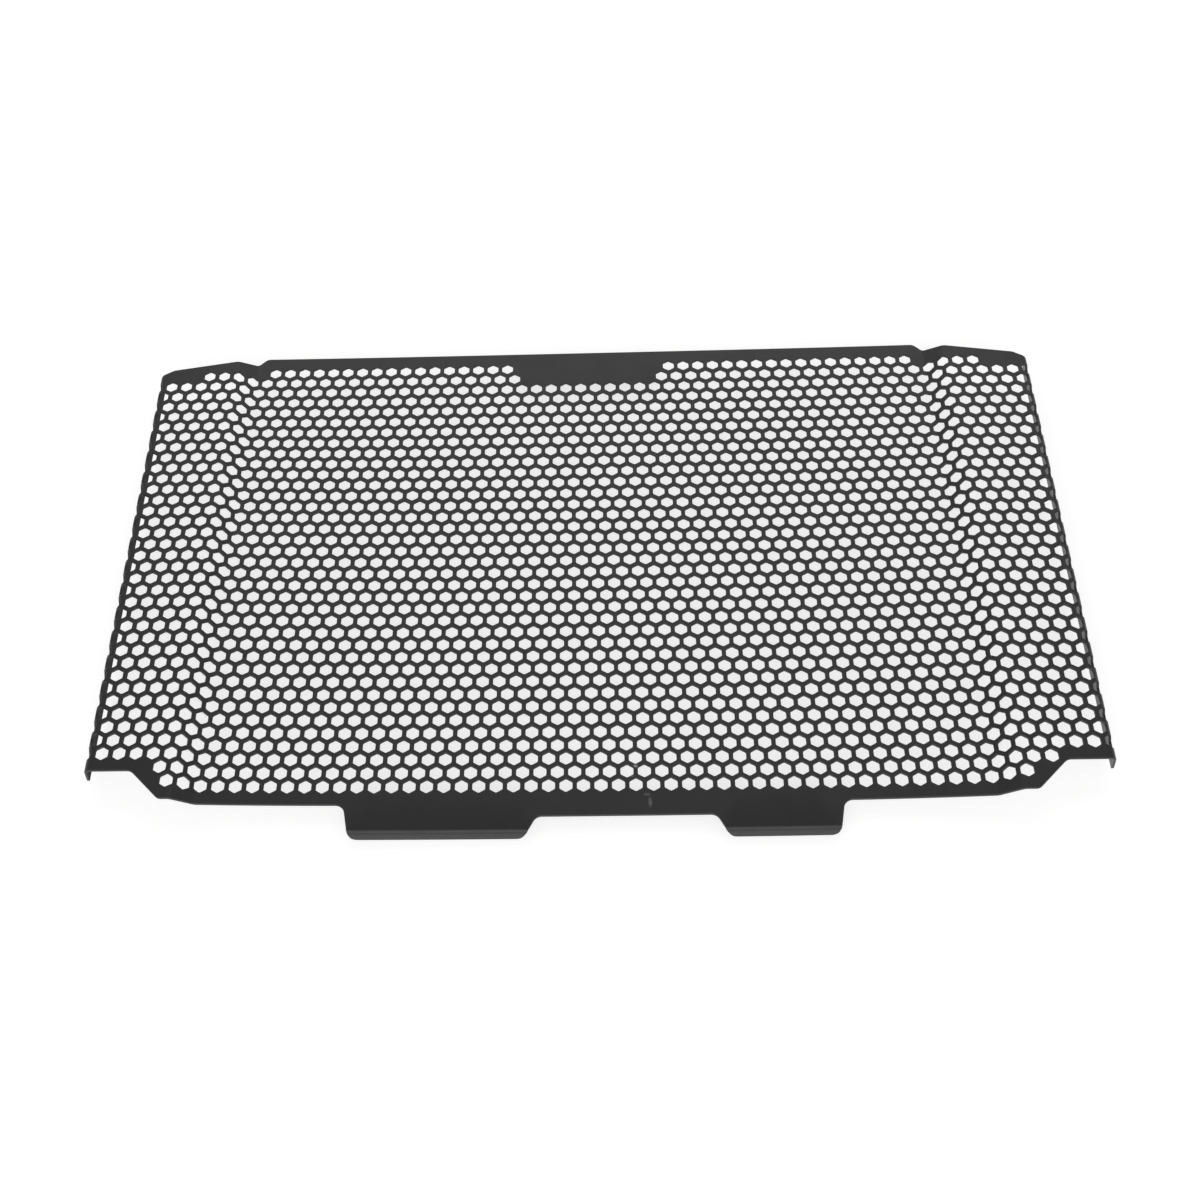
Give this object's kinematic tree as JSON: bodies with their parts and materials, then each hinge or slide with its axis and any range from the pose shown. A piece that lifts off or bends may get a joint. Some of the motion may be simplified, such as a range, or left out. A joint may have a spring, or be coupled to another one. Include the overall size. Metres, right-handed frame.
{
  "type": "motorcycle radiator guard",
  "caption": "Folded sheet-metal guard with a hexagonal mesh, side flanges and lipped tabs, which fits over a radiator and keeps stones off its fins.",
  "frame": {"origin": "under the middle of the guard, on the surface that it lies on", "axes": "+X along the width, to the right as seen from the front with the lower edge near; +Y from the lower edge to the upper one; +Z out of the face that meets the wind"},
  "size_m": [0.383, 0.2302, 0.0145],
  "materials": {
    "coated_sheet": "matt black powder coat with a fine texture"
  },
  "bodies": {
    "root": {"guard": "coated_sheet"}
  },
  "joints": []
}
